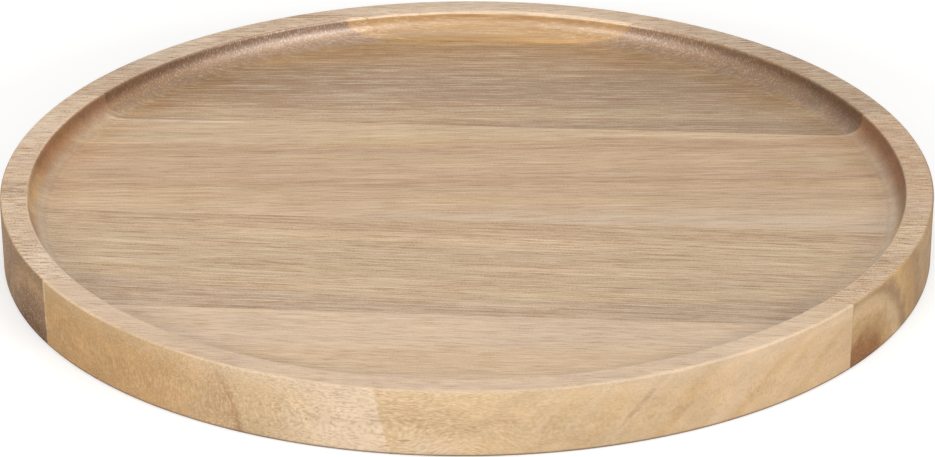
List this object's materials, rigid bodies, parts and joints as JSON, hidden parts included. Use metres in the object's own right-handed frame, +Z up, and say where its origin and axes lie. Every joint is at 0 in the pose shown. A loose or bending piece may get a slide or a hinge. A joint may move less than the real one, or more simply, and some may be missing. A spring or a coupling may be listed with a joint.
{
  "type": "wooden plate",
  "caption": "Round shallow wooden plate with a raised flat-topped rim and a coved well, edge-glued from parallel hardwood staves and turned to shape.",
  "frame": {"origin": "centre of the flat underside", "axes": "+Z up out of the well, +X along the grain of the staves, +Y across the staves towards the back"},
  "size_m": [0.26, 0.26, 0.02],
  "materials": {
    "front_stave_wood": "oiled acacia, pinkish heartwood above and golden sapwood on the outer edge, satin",
    "second_stave_wood": "oiled acacia, greyish tan heartwood with dark purple-brown streaks, satin",
    "middle_stave_wood": "oiled acacia, pinkish tan heartwood with a pale band along one edge, satin",
    "fourth_stave_wood": "oiled acacia, brown heartwood with fine dark streaks, satin",
    "back_stave_wood": "oiled acacia, golden sapwood, satin",
    "dry_glue": "cured wood glue in a thin film, sanded flush"
  },
  "bodies": {
    "root": {"stave_1_front": "front_stave_wood", "stave_2": "second_stave_wood", "stave_3": "middle_stave_wood", "stave_4": "fourth_stave_wood", "stave_5_back": "back_stave_wood", "glue_line_1_2": "dry_glue", "glue_line_2_3": "dry_glue", "glue_line_3_4": "dry_glue", "glue_line_4_5": "dry_glue"}
  },
  "joints": []
}
